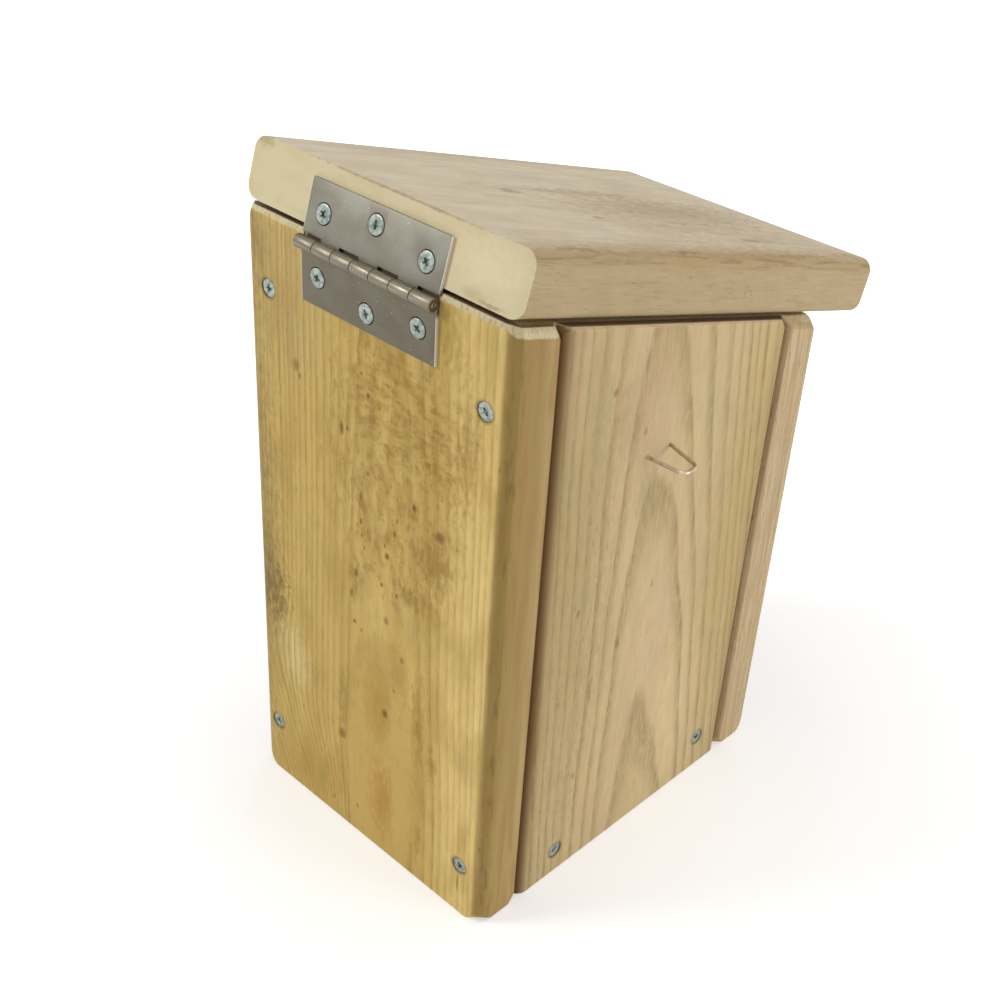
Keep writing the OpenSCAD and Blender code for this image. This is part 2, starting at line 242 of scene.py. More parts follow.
late = times(remap(phase, given["Narrow"], 0.9), remap(phase, 1.0, 0.88))
late = times(late, remap(year.outputs["Value"], 0.0, 1.0, 0.5, 1.0, "LINEAR"))
fibre = scatter(place, (0.5, 0.5, 12), 3.0, seed)
streak = scatter(place, (2.6, 2.6, 70), 3.0, seed)
broken = scatter(place, (1.3, 1.3, 7), 2.0, seed)
late_here = times(late, remap(streak, 0.3, 0.7, 0.6, 1.15, "LINEAR"))
late_here = times(late_here, remap(broken, 0.32, 0.62, 0.45, 1.2, "LINEAR"))
colour = mix_colours(times(late_here, given["Lines"], clamp=True), given["Early"], given["Late"])
blotch = remap(scatter(place, (14, 14, 40), 5.0, seed), 0.42, 0.68)
colour = mix_colours(times(blotch, given["Stained"], clamp=True), colour, given["Stain"])
fleck = remap(scatter(place, (0.9, 0.9, 4.5), 1.0, seed), 0.66, 0.74)
fleck_area = remap(scatter(place, (30, 30, 60), 1.0, seed), 0.46, 0.6)
fleck = times(times(fleck, fleck_area), given["Flecks"], clamp=True)
colour = mix_colours(fleck, colour, (0.16, 0.085, 0.025, 1))
patchy = scatter(place, (5, 5, 14), 4.0, seed)
shade = remap(fibre, 0.25, 0.75, 0.9, 1.1, "LINEAR")
shade = times(shade, remap(streak, 0.25, 0.75, 0.95, 1.05, "LINEAR"))
shade = times(shade, remap(patchy, 0.25, 0.75, 0.94, 1.06, "LINEAR"))
warmth = remap(scatter(place, (11, 11, 30), 3.0, 31.0), 0.3, 0.7, 0.97, 1.03, "LINEAR")
light = {0: times(shade, warmth), 1: shade, 2: calculate("DIVIDE", shade, warmth)}
light = add_node(tree, "CombineColor", light).outputs[0]
colour = mix_colours(1.0, colour, light, "MULTIPLY")
tree.links.new(colour, result["Color"])
tree.links.new(remap(fibre, 0.3, 0.7, 0.52, 0.68, "LINEAR"), result["Roughness"])
height = calculate("MULTIPLY_ADD", late, 0.35, times(fibre, 0.6))
tree.links.new(calculate("SUBTRACT", height, fleck), result["Height"])


def start_wood(name, turn, centre, values):
    """A wood material: turn brings the part's axes to (u, v, w), centre is in millimetres"""
    material, tree, surface = start_material(name)
    here = add_node(tree, "TexCoord").outputs["Object"]
    shift = Vector(centre)
    shift.rotate(turn)
    mapping = {"Vector": here, "Location": -shift, "Rotation": turn, "Scale": [1 / MM] * 3}
    board = add_node(tree, "Mapping", mapping).outputs[0]
    wood = add_node(tree, "Group", {"Place": board, **values}, node_tree=wood_group)
    return material, surface, board, wood


def feed(value, node, name):
    """Links an output to a node's input"""
    value.id_data.links.new(value, node.inputs[name])


def mark(board, centre, size, soft, ragged):
    """Mask of one mark; all the marks of a board share one noise for their ragged borders"""
    tree = board.id_data
    if "uneven" in tree.nodes:
        uneven = tree.nodes["uneven"].outputs[0]
    else:
        uneven = calculate("MULTIPLY_ADD", scatter(board, (2.2, 2.2, 5), 3.0, 2.0), 3.0, -1.5)
        uneven.node.name = "uneven"
    inputs = {
        "Place": board, "Uneven": uneven, "Centre": centre, "Size": size, "Soft": soft, "Ragged": ragged,
    }
    return add_node(tree, "Group", inputs, node_tree=mark_group).outputs["Mask"]


def tint(colour, mask, strength, seen):
    """The colour, mixed with one given as the eye sees it where the mask says"""
    return mix_colours(times(mask, strength, clamp=True), colour, sample(*seen))


def spots(board, colour, marks):
    """The colour with marks of (centre, size, strength, colour, soft, ragged)"""
    for centre, size, strength, shade, soft, ragged in marks:
        colour = tint(colour, mark(board, centre, size, soft, ragged), strength, shade)
    return colour


FACE_V = 12
MARK_DEPTH = 20


def face_spots(board, colour, rows, level=FACE_V, depth=MARK_DEPTH):
    """The colour with marks on the face at v = level, of (u, w, width, height, strength, colour,
    soft, ragged)"""
    return spots(board, colour, (
        ((u, level, w), (width, depth, height), *look) for u, w, width, height, *look in rows
    ))


def mottle(board, colour, rows):
    """The colour with irregular spots, in rows of (area, grain sizes, noise where a spot begins and
    where it is full, strength, colour, shift of the noise)"""
    for area, grains, low, high, strength, shade, shift in rows:
        grain = remap(scatter(board, grains, 3.0, shift), low, high)
        colour = tint(colour, times(grain, area), strength, shade)
    return colour


def screw_rim_shade(board, colour, names, across_x, middle, face):
    """The colour with a darker rim round the countersunk heads: painted shade of the countersinks in the
    wood
    """
    for node_name in names:
        low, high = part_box(node_name)
        centre = (low + high) / 2 / MM
        u = centre.x if across_x else centre.y - middle
        rim = mark(board, (u, face, centre.z), (5.6, 5, 5.8), 0.3, 0.12)
        colour = tint(colour, rim, 0.55, (112, 92, 50))
    return colour


def below_slope(board, axis, level, rise):
    """Distance below a sloping plane, which is level high at 0 on the axis and climbs by rise"""
    parts = parts_of(board)
    top = calculate("MULTIPLY_ADD", parts[axis], rise, level)
    return calculate("SUBTRACT", top, parts["Z"])


def fresh_cut(board, colour, depth, below, strength):
    """The paler wood of a planed bevel, with a ragged lower border and darker pores"""
    frayed = scatter(board, (1.6, 1.6, 3), 2.0, 6.0)
    border = calculate("MULTIPLY_ADD", frayed, 1.6, depth - 0.6)
    strip = remap(calculate("SUBTRACT", border, below), -0.5, 0.5)
    colour = tint(colour, strip, strength, (226, 212, 170))
    pores = remap(scatter(board, (0.9, 0.9, 9), 2.0, 8.0), 0.5, 0.66)
    return tint(colour, times(strip, pores), 0.5, (176, 152, 104))


def groove_shade(colour, across, first, last, low, high, strength=0.93):
    """Painted shade in the groove beside a joint, a dark brown: |u| from first to last, v from low to high
    """
    sideways = calculate("ABSOLUTE", across["X"])
    deep = times(remap(sideways, first, last), remap(across["Y"], low, high))
    return tint(colour, deep, strength, (98, 60, 4))


def lid_gap_shade(colour, rim, below):
    """The colour with a painted shadow of the lid: a dark line on a board's top end, where the rim mask
    says
    """
    lid_shadow = times(rim, remap(below, 0.5, 0.2))
    return tint(colour, lid_shadow, 0.88, (78, 42, 22))


def coat(surface, inputs, bump=None):
    """Gives a material a Principled shader with these inputs, and a bump with its own"""
    tree = surface.id_data
    if bump:
        inputs = {**inputs, "Normal": add_node(tree, "Bump", bump).outputs[0]}
    feed(add_node(tree, "BsdfPrincipled", inputs).outputs[0], surface, "Surface")


def finish_wood(surface, colour, wood):
    """The shader of a planed board"""
    looks = {"Base Color": colour, "Roughness": wood.outputs["Roughness"], "Specular IOR Level": 0.3}
    coat(surface, looks, {"Height": wood.outputs["Height"], "Strength": 0.3, "Distance": 0.2 * MM})


def select_only(piece):
    """Selects one piece alone and makes it active"""
    bpy.ops.object.select_all(action="DESELECT")
    piece.select_set(True)
    bpy.context.view_layer.objects.active = piece


def apply_moves():
    """Applies the active piece's place, turn and scale to its mesh"""
    bpy.ops.object.transform_apply(location=True, rotation=True, scale=True)


def start_edit(piece, action="DESELECT"):
    """Opens one piece for editing with nothing in it selected, or everything"""
    select_only(piece)
    bpy.ops.object.mode_set(mode="EDIT")
    bpy.ops.mesh.select_all(action=action)


def stop_edit():
    """Leaves the editing"""
    bpy.ops.object.mode_set(mode="OBJECT")


def smooth_below(degrees):
    """Shades the active piece smooth, with edges sharp from an angle upwards"""
    bpy.ops.object.shade_smooth_by_angle(angle=math.radians(degrees))


def copy_of(piece, name):
    """A copy with its own mesh"""
    made = piece.copy()
    made.data = piece.data.copy()
    made.name = name
    made.data.name = name
    bpy.context.collection.objects.link(made)
    return made


def planed_board(node_name, material, body):
    """A copy of a CAD board for shaping, with its loose triangles merged, that stands for it"""
    piece = copy_of(frame["nodes"][node_name], "planed_" + node_name)
    start_edit(piece, "SELECT")
    bpy.ops.mesh.remove_doubles(threshold=0.002 * MM)
    bpy.ops.mesh.dissolve_limited(angle_limit=math.radians(0.3))
    stop_edit()
    bpy.ops.mesh.customdata_custom_splitnormals_clear()
    piece.data.materials.clear()
    piece.data.materials.append(material)
    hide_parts(node_name)
    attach(piece, body)
    return piece


def plane_off(piece, point, outward):
    """A stroke of the block plane: takes off what is past a point (millimetres) in a direction"""
    start_edit(piece, "SELECT")
    bpy.ops.mesh.bisect(plane_co=point * MM, plane_no=outward, clear_outer=True, use_fill=True)
    stop_edit()


def ease_board(piece, face, out, top):
    """Rounds the corners and top edges of an upright board: its outer face is at y = face, where
    it is top high, and faces +Y (out = 1) or -Y (out = -1)"""
    up = Vector((0, 0, 1))
    square_up = Vector((0, -math.sin(LID_SLOPE), math.cos(LID_SLOPE)))
    for side in (-1, 1):
        outward = Vector((side, out, 0)).normalized()
        corner = Vector((side * (BOARD_W / 2 - EDGE_R), face - out * EDGE_R, 0)) + EDGE_R * outward
        for height, steep in FOOT_STROKES:
            plane_off(piece, corner + height * up, outward - steep * up)
        for depth, steep in CORNER_STROKES:
            plane_off(piece, corner + (top - depth) * up, outward + steep * up)
        outward = Vector((side, 0, 0))
        for depth, steep in EDGE_STROKES:
            edge_point = Vector((side * BOARD_W / 2, BACK_FACE, BACK_H)) - depth * square_up
            plane_off(piece, edge_point, outward + steep * square_up)
    outward = Vector((0, out, 0))
    for depth, steep in EDGE_STROKES:
        plane_off(piece, Vector((0, face, top - depth)), outward + steep * up)
    smooth_below(38)
    square_axes = (Vector((1, 0, 0)), Vector((0, 1, 0)), up, square_up)
    start_edit(piece)
    shape = bmesh.from_edit_mesh(piece.data)
    for plane in shape.faces:
        plane.select_set(max(abs(plane.normal.dot(axis)) for axis in square_axes) > FLAT)
    bmesh.update_edit_mesh(piece.data)
    bpy.ops.mesh.faces_shade_flat()
    stop_edit()


BOARD_T = 25.0
BOARD_W = 150.0
EDGE_R = 6.0
# Strokes of the block plane: how far from the end in millimetres, and how steep
FOOT_STROKES = ((7.5, 0.22), (3.4, 1.1))
CORNER_STROKES = ((7.0, 0.22), (3.3, 1.1))
EDGE_STROKES = ((3.6, 0.22), (1.75, 1.1))
FLAT = 0.99999
LID_SLOPE = math.radians(16)
TOP_RISE = math.tan(LID_SLOPE)
BACK_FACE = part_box("back_board")[1].y / MM
BACK_MIDDLE = BACK_FACE - BOARD_T / 2
BACK_H = 295.0
UPRIGHT = Matrix.Identity(3).to_euler()
DARK_SPECK = (122, 82, 14)
OLIVE = (164, 130, 54)
wood_values = {
    "Seed": 3.0, "Heart": (-14, -42, 0), "Lean": (0.0, -0.02, 0), "Ring": 2.45, "Wander": 0.7,
    "Late": sample(182, 148, 74), "Stain": sample(184, 148, 68),
    "Narrow": 0.3, "Stained": 0.45, "Flecks": 0.5,
}
back_wood, surface, board, wood = start_wood("back_wood", UPRIGHT, (0, BACK_MIDDLE, 0), wood_values)
across = parts_of(board)
# The rings fan out below the cut-away knot at the left edge
fan = times(remap(across["X"], 5, 45), remap(across["Z"], 66, -20, 0, 20))
swirl = times(mark(board, (82, 12, 84), (40, 60, 50), 1.0, 0.0), -9.0)
feed(calculate("ADD", fan, swirl), wood, "Push")
# The tone under the ring lines: paler towards the right, and pale where the knot was cut away
paler = times(remap(across["X"], -36, -58), remap(across["Z"], 225, 170, 0.7, 1.0))
early = tint(sample(220, 188, 108), paler, 1.0, (248, 217, 140))
early = face_spots(board, early, (
    (-50, 80, 14, 66, 0.5, (244, 208, 128), 0.9, 0.2),
    (52, 268, 34, 52, 0.5, (204, 183, 132), 0.9, 0.5),
    (64, 150, 14, 70, 0.35, (190, 166, 92), 0.9, 0.5),
    (52, 79, 19, 24, 0.7, (236, 214, 146), 0.6, 0.4),
    (45, 15, 34, 26, 0.4, (192, 162, 84), 0.9, 0.5),
    (-10, 30, 14, 32, 0.5, (216, 166, 80), 0.9, 0.6),
    (0, 190, 12, 90, 0.3, (226, 196, 122), 0.9, 0.6),
    (-9, 150, 12, 40, 0.5, (240, 204, 120), 0.9, 0.3),
    (-28, 98, 13, 46, 0.5, (244, 206, 118), 0.9, 0.3),
))
feed(early, wood, "Early")
calm = mark(board, (-9, 12, 120), (24, 20, 170), 0.45, 0.2)
strong = times(remap(calm, 0.0, 1.0, 0.95, 0.25, "LINEAR"), remap(paler, 0.0, 1.0, 1.0, 0.6))
feed(strong, wood, "Lines")
colour = face_spots(board, wood.outputs["Color"], (
    (-9, 46, 31, 84, 0.26, (174, 138, 58), 0.16, 0.12),
    (-9, 42, 26, 79, 0.7, (224, 190, 108), 0.25, 0.15),
    (-7, 88, 11, 27, 0.4, (184, 148, 62), 0.35, 0.2),
    (-8, 84, 8, 19, 0.45, (194, 148, 60), 0.7, 0.3),
    (-9, 32, 11, 34, 0.4, (196, 140, 58), 0.8, 0.4),
    (-12, 30, 10, 30, 0.35, (182, 132, 58), 0.9, 0.6),
    (-31, 96, 3, 26, 0.35, (150, 116, 50), 0.9, 0.6),
    (62, 108, 9, 18, 0.5, (142, 112, 44), 0.9, 0.7),
    (16, 75, 4.5, 28, 0.45, OLIVE, 0.9, 0.6),
    (17, 55, 4, 5, 0.6, DARK_SPECK, 0.9, 0.7),
    (-34, 92, 3.4, 34, 0.5, OLIVE, 0.9, 0.7),
    (-42, 74, 4.5, 15, 0.55, OLIVE, 0.9, 0.7),
    (-42, 182, 14, 24, 0.4, (168, 130, 52), 0.9, 0.9),
    (-30, 155, 16, 9, 0.45, OLIVE, 0.9, 0.9),
    (6, 143, 6, 12, 0.4, OLIVE, 0.9, 0.9),
    (-27, 157, 10, 6, 0.5, OLIVE, 0.9, 0.8),
    (8, 148, 5, 16, 0.5, OLIVE, 0.9, 0.8),
    (4, 188, 3.4, 17, 0.5, OLIVE, 0.9, 0.8),
    (-41, 178, 9, 22, 0.35, OLIVE, 0.9, 0.8),
    (-55, 236, 8, 36, 0.45, (166, 128, 56), 0.9, 0.8),
    (-45, 280, 9, 18, 0.45, OLIVE, 0.9, 0.8),
    (-35, 25, 3, 15, 0.5, OLIVE, 0.9, 0.7),
    # Painted shade: the last three marks darken the face along its left edge
    (78, 280, 26, 30, 0.6, (140, 122, 80), 0.9, 0.3),
    (80, 112, 30, 42, 0.8, (118, 94, 44), 0.9, 0.4),
    (80, 150, 28, 190, 0.75, (140, 118, 66), 0.9, 0.3),
))
# The mottled middle, with the planer's chatter across the grain near the hinge
upper = mark(board, (-14, 12, 216), (50, 20, 92), 0.5, 0.25)
lower = mark(board, (-10, 12, 80), (34, 20, 60), 0.7, 0.3)
both = calculate("MULTIPLY_ADD", lower, 0.3, upper, clamp=True)
chatter = mark(board, (-22, 12, 236), (46, 20, 36), 0.6, 0.3)
colour = mottle(board, colour, (
    (both, (8, 8, 20), 0.46, 0.62, 0.42, (172, 134, 58), 1.0),
    (both, (4.5, 4, 8), 0.5, 0.64, 0.42, (156, 118, 40), 12.0),
    (both, (1.8, 1.8, 3.6), 0.56, 0.68, 0.42, (140, 104, 38), 2.0),
    (chatter, (10, 8, 3.2), 0.46, 0.64, 0.42, (164, 126, 46), 3.0),
    (chatter, (5, 8, 2.2), 0.54, 0.68, 0.42, (146, 108, 34), 4.0),
))
ticks = mark(board, (60, 12, 112), (13, 20, 24), 0.8, 0.3)
colour = mottle(board, colour, [(ticks, (2.4, 8, 3.6), 0.5, 0.6, 0.65, (130, 100, 34), 5.0)])
left = mark(board, (55, 12, 170), (32, 20, 150), 0.4, 0.1)
colour = mottle(board, colour, [(left, (1.1, 4, 5), 0.58, 0.7, 0.4, (146, 118, 60), 6.0)])
# Resin pockets and bruises: short dark marks along the grain
colour = face_spots(board, colour, (
    (*speck, DARK_SPECK, 0.8, 0.25) for speck in (
        (44, 234, 3.0, 4.5, 0.55), (42, 229.5, 1.6, 2.2, 0.6), (16, 216, 1.7, 4.5, 0.75),
        (12.5, 218, 1.2, 1.8, 0.8), (0, 238, 1.6, 1.9, 0.9), (4, 246, 1.1, 1.3, 0.6),
        (-27.5, 199.5, 1.8, 2.8, 0.9), (-42, 193, 3.6, 3.4, 0.7), (-16.5, 181.5, 1.1, 2.6, 0.8),
        (-17.5, 188, 0.9, 1.5, 0.6), (-12, 168.5, 1.8, 2.4, 0.9), (-10.5, 173, 1.0, 1.8, 0.7),
        (3.5, 171, 1.0, 1.6, 0.7), (2, 165.5, 0.9, 1.4, 0.7), (4, 178, 1.2, 2.4, 0.8),
        (4, 190, 1.6, 3.2, 0.7), (0, 202.5, 1.3, 1.6, 0.6), (-9, 152.5, 1.3, 1.6, 0.8),
        (-18, 151.5, 1.2, 2.2, 0.7), (7, 150, 1.5, 3.0, 0.7), (10, 138, 1.8, 3.4, 0.6),
        (-12, 135.5, 2.2, 3.0, 0.6), (8, 124, 1.7, 1.8, 0.8), (3.5, 121.5, 1.0, 1.4, 0.6),
        (-22, 120, 2.0, 3.0, 0.55), (-17.5, 100.5, 1.2, 2.0, 0.5), (-34, 222, 2.2, 2.4, 0.5),
        (-61, 17, 0.5, 6.5, 0.85), (23, 10, 1.1, 2.6, 0.5), (6, 16, 1.3, 2.4, 0.5),
        (-12, 84, 2.6, 3.4, 0.85),
    )
), 12.5, 4)
back_screws = ["back_screw_%d" % (i + 1) for i in range(4)]
# Painted shade round the screw heads
colour = screw_rim_shade(board, colour, back_screws, True, 0, BOARD_T / 2)
# The narrow edges are browner, with olive and pinkish streaks
edge = remap(calculate("ABSOLUTE", across["X"]), 69.5, 73.5)
colour = tint(colour, edge, 0.9, (176, 145, 86))
# Painted shade: the narrow edges grow darker upwards from the foot, their lower part painted lighter for
# the light from the floor
colour = tint(colour, times(edge, remap(across["Z"], 20, 150)), 0.6, (160, 129, 74))
outer = times(remap(across["Y"], 1, 9), edge)
inner = times(remap(across["Y"], -1, -10), edge)
colour = tint(colour, outer, 0.6, (162, 132, 60))
colour = tint(colour, inner, 0.5, (204, 172, 120))
colour = mottle(board, colour, (
    (edge, (9, 4, 46), 0.44, 0.62, 0.5, (160, 118, 66), 7.0),
    (edge, (5, 2.6, 60), 0.46, 0.62, 0.45, (166, 144, 84), 11.0),
    (outer, (4, 2, 14), 0.52, 0.66, 0.5, (124, 98, 36), 13.0),
))
# Painted shade in the groove between the back board's narrow edge and the side board
colour = groove_shade(colour, across, 70.0, 72.0, -9.8, -11.4)
below = below_slope(board, "Y", BACK_H - TOP_RISE * BOARD_T / 2, TOP_RISE)
on_face = remap(across["Y"], -4, 6, 0.25, 0.9)
on_face = calculate("MAXIMUM", on_face, times(edge, 0.8))
deeper = calculate("MULTIPLY_ADD", edge, -1.5, below)
colour = fresh_cut(board, colour, 2.4, deeper, on_face)
# Painted shadow of the lid along the top end, near the outer face and on the narrow edges
rim = calculate("MAXIMUM", remap(across["Y"], 6.5, 8.5), edge)
colour = lid_gap_shade(colour, rim, below)
# Painted shadow in the gap behind the hinge barrel, on the top of the back board
shade_under_hinge = remap(calculate("ABSOLUTE", across["X"]), 37.5, 36)
shade_under_hinge = times(shade_under_hinge, remap(across["Z"], 284, 287))
shade_under_hinge = times(shade_under_hinge, remap(across["Y"], 3, 7))
colour = tint(colour, shade_under_hinge, 0.9, (58, 44, 26))
finish_wood(surface, colour, wood)
ease_board(planed_board("back_board", back_wood, "box"), BACK_FACE, 1, BACK_H)

# Front board: the same planed board, shorter, with the round entrance bored through it
FRONT_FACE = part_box("front_board")[0].y / MM
FRONT_MIDDLE = FRONT_FACE + BOARD_T / 2
wood_values = {
    "Seed": 9.0, "Heart": (8, 62, 0), "Lean": (0.05, 0.03, 0), "Ring": 3.1, "Wander": 0.9,
    "Early": sample(208, 184, 140), "Late": sample(170, 142, 92), "Stain": sample(188, 158, 110),
    "Lines": 0.8, "Narrow": 0.6, "Stained": 0.4, "Flecks": 0.35,
}
front_wood, surface, board, wood = start_wood("front_wood", UPRIGHT, (0, FRONT_MIDDLE, 0), wood_values)
across = parts_of(board)
edge = remap(calculate("ABSOLUTE", across["X"]), 69.5, 73.5)
colour = tint(wood.outputs["Color"], edge, 0.25, (218, 194, 158))
colour = mottle(board, colour, (
    (edge, (4, 1.0, 60), 0.46, 0.6, 0.5, (164, 134, 92), 3.0),
    (edge, (4, 1.6, 22), 0.5, 0.62, 0.35, (212, 176, 138), 4.0),
    (edge, (3, 0.9, 6), 0.6, 0.68, 0.55, (128, 92, 48), 5.0),
))
front_screws = ["front_screw_%d" % (i + 1) for i in range(4)]
# Painted shade round the screw heads
colour = screw_rim_shade(board, colour, front_screws, True, 0, -BOARD_T / 2)
# Painted shade, faint, in the grooves beside the front board's edges
colour = groove_shade(colour, across, 70.0, 72.5, 9.8, 11.8, 0.35)
below = below_slope(board, "Y", BACK_H - TOP_RISE * (BACK_FACE - FRONT_MIDDLE), TOP_RISE)
on_face = remap(across["Y"], 4, -6, 0.25, 0.85)
colour = fresh_cut(board, colour, 2.4, below, on_face)
# Painted shadow of the lid along the top end of the edges
colour = lid_gap_shade(colour, edge, below)
finish_wood(surface, colour, wood)
FRONT_H = BACK_H - TOP_RISE * (BACK_FACE - FRONT_FACE)
ease_board(planed_board("front_board", front_wood, "box"), FRONT_FACE, -1, FRONT_H)

# Side boards: planed softwood between back and front, pale pinkish tan, sawn flat in front of the
# heart, so that arches climb their middle. The screws of back and front hold them by their edges.
def dress(node_name, material):
    """Gives a node of the frame its finish"""
    slots = frame["nodes"][node_name].data.materials
    slots.clear()
    slots.append(material)


SIDEWAYS = Matrix(((0, 1, 0), (-1, 0, 0), (0, 0, 1))).to_euler()
side_low, side_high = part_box("side_board_left")
SIDE_MIDDLE = (side_low.y + side_high.y) / 2 / MM
SIDE_X = (BOARD_W - BOARD_T) / 2
wood_values = {
    "Seed": 5.0, "Heart": (-8.5, -80, 0), "Lean": (0.07, -0.029, 0), "Ring": 3.2, "Phase": -0.175,
    "Wander": 0.6,
    "Early": sample(212, 188, 140), "Late": sample(158, 130, 78), "Stain": sample(206, 172, 134),
    "Lines": 0.9, "Narrow": 0.42, "Stained": 0.3, "Flecks": 0.3,
}
place = (-SIDE_X, SIDE_MIDDLE, 0)
side_wood, surface, board, wood = start_wood("side_wood", SIDEWAYS, place, wood_values)
across = parts_of(board)
early = face_spots(board, wood_values["Early"], (
    (-62, 140, 46, 200, 0.8, (192, 168, 104), 1.0, 0.2),
    (20, 225, 34, 60, 0.5, (206, 174, 136), 0.9, 0.4),
    (-4, 105, 17, 62, 0.6, (222, 192, 150), 0.8, 0.3),
    (58, 160, 34, 240, 0.8, (186, 163, 110), 0.9, 0.2),
    (-28, 40, 32, 90, 0.6, (236, 208, 158), 0.9, 0.2),
))
feed(early, wood, "Early")
colour = face_spots(board, wood.outputs["Color"], (
    (33, 235, 8, 26, 0.35, (182, 154, 108), 0.9, 0.5),
    (30, 130, 8, 62, 0.3, (182, 156, 108), 0.9, 0.5),
    (14, 192, 11, 18, 0.3, (170, 148, 100), 0.9, 0.6),
))
colour = face_spots(board, colour, (
    (42, 250, 2.0, 2.6, 0.55, DARK_SPECK, 0.8, 0.3),
    (51, 150, 1.8, 2.8, 0.6, DARK_SPECK, 0.8, 0.3),
    (20, 225, 1.6, 2.6, 0.45, DARK_SPECK, 0.8, 0.4),
    (2, 142, 1.2, 3.2, 0.5, DARK_SPECK, 0.8, 0.3),
    (22, 119, 2.0, 5.0, 0.55, DARK_SPECK, 0.9, 0.5),
    (38, 102, 1.6, 9.0, 0.5, DARK_SPECK, 0.9, 0.6),
    (43, 55, 1.6, 4.0, 0.5, DARK_SPECK, 0.9, 0.5),
), FACE_V, 4)
dashes = mark(board, (48, 12, 130), (26, 20, 150), 0.6, 0.2)
colour = mottle(board, colour, (
    (dashes, (1.2, 4, 6), 0.57, 0.68, 0.45, (146, 118, 70), 1.0),
    (dashes, (3, 6, 12), 0.5, 0.66, 0.3, (176, 152, 102), 2.0),
))
shaded = mark(board, (14, 12, 196), (12, 20, 14), 0.9, 0.3)
colour = tint(colour, shaded, 0.25, (160, 148, 104))
left_screws = ("floor_screw_left_1", "floor_screw_left_2")
# Painted shade round the screw heads
colour = screw_rim_shade(board, colour, left_screws, False, SIDE_MIDDLE, BOARD_T / 2)
# Painted shade: the face darker and yellower towards both edges, beside the grooves
margin_shade = remap(calculate("ABSOLUTE", across["X"]), 61, 73)
colour = tint(colour, margin_shade, 0.42, (136, 108, 52))
# Painted shade in the grooves beside back and front, stronger towards the back
rearward = remap(across["X"], -30, 30, 0.25, 0.95)
colour = groove_shade(colour, across, 68.5, 74.5, 2.0, 8.0, rearward)
below = below_slope(board, "X", BACK_H - TOP_RISE * (BACK_FACE - SIDE_MIDDLE), TOP_RISE)
outward = remap(across["Y"], 9.8, 11.2)
colour = fresh_cut(board, colour, 0.4, below, remap(outward, 0.0, 1.0, 0.6, 0.3))
bevel = times(outward, remap(below, 1.7, 1.2))
colour = tint(colour, bevel, 0.4, (222, 194, 164))
# Painted shadow of the lid along the top end, near the outer face
colour = lid_gap_shade(colour, remap(across["Y"], 7.0, 8.5), below)
finish_wood(surface, colour, wood)
dress("side_board_left", side_wood)

wood_values = dict(wood_values, Seed=12.0, Heart=(14, -66, 0), Lean=(-0.04, 0.03, 0), Phase=0.1)
WAYS_RIGHT = Matrix(((0, -1, 0), (1, 0, 0), (0, 0, 1))).to_euler()
place = (SIDE_X, SIDE_MIDDLE, 0)
right_wood, surface, board, wood = start_wood("side_wood_right", WAYS_RIGHT, place, wood_values)
across = parts_of(board)
specks = (1.0, (1.2, 4, 6), 0.6, 0.7, 0.4, (146, 118, 70), 1.0)
colour = mottle(board, wood.outputs["Color"], [specks])
below = below_slope(board, "X", BACK_H - TOP_RISE * (BACK_FACE - SIDE_MIDDLE), -TOP_RISE)
# Painted shade in the grooves beside back and front
colour = groove_shade(colour, across, 68.8, 73.2, 2.0, 8.0)
colour = fresh_cut(board, colour, 0.5, below, 0.6)
finish_wood(surface, colour, wood)
dress("side_board_right", right_wood)

# Floor board: a short piece of the same board across the box, with four drain holes, held by
# screws through the sides. Its grain runs from side to side.
ENDWAYS = Matrix(((0, 1, 0), (0, 0, 1), (1, 0, 0))).to_euler()
wood_values = dict(
    wood_values, Seed=15.0, Heart=(20, -50, 0), Lean=(0.0, 0.05, 0), Early=sample(206, 184, 136),
    Late=sample(170, 144, 94),
)
place = (0, SIDE_MIDDLE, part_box("floor_board")[0].z / MM + BOARD_T / 2)
floor_wood, surface, board, wood = start_wood("floor_wood", ENDWAYS, place, wood_values)
finish_wood(surface, wood.outputs["Color"], wood)
dress("floor_board", floor_wood)


# Box screws: countersunk zinc-plated screws with a cross recess, driven through the faces of the
# back and front into the sides, and through the sides into the floor, a little below the wood
def pick(piece, kind, chosen):
    """Selects the faces or edges of the open piece whose middle is where chosen says"""
    bpy.ops.mesh.select_mode(type={"edges": "EDGE", "faces": "FACE"}[kind])
    bpy.ops.mesh.select_all(action="DESELECT")
    shape = bmesh.from_edit_mesh(piece.data)
    for item in getattr(shape, kind):
        middle = sum((corner.co for corner in item.verts), Vector()) / len(item.verts)
        item.select_set(chosen(middle))
    shape.select_flush_mode()
    bmesh.update_edit_mesh(piece.data)


def extrude(move):
    """Extrudes what is selected"""
    bpy.ops.mesh.extrude_region_move(TRANSFORM_OT_translate={"value": move})


def close_edit(merge=0.001):
    """Merges doubles, turns the faces outwards and leaves the editing"""
    bpy.ops.mesh.select_all(action="SELECT")
    bpy.ops.mesh.remove_doubles(threshold=merge)
    bpy.ops.mesh.normals_make_consistent(inside=False)
    stop_edit()


def modify(piece, kind, **settings):
    """Adds a modifier and applies it"""
    select_only(piece)
    added = piece.modifiers.new(kind.lower(), kind)
    for name, value in settings.items():
        setattr(added, name, value)
    bpy.ops.object.modifier_apply(modifier=added.name)


def cut(piece, cutter):
    """Takes the cutter's volume out of the piece and removes the cutter"""
    modify(piece, "BOOLEAN", operation="DIFFERENCE", object=cutter, solver="EXACT")
    bpy.data.objects.remove(cutter)


def set_down(piece, turn, place):
    """Brings a piece modelled in millimetres to its place in metres, and applies it to the mesh"""
    select_only(piece)
    piece.matrix_world = Matrix.Translation(place) @ turn.to_4x4() @ Matrix.Scale(MM, 4)
    apply_moves()


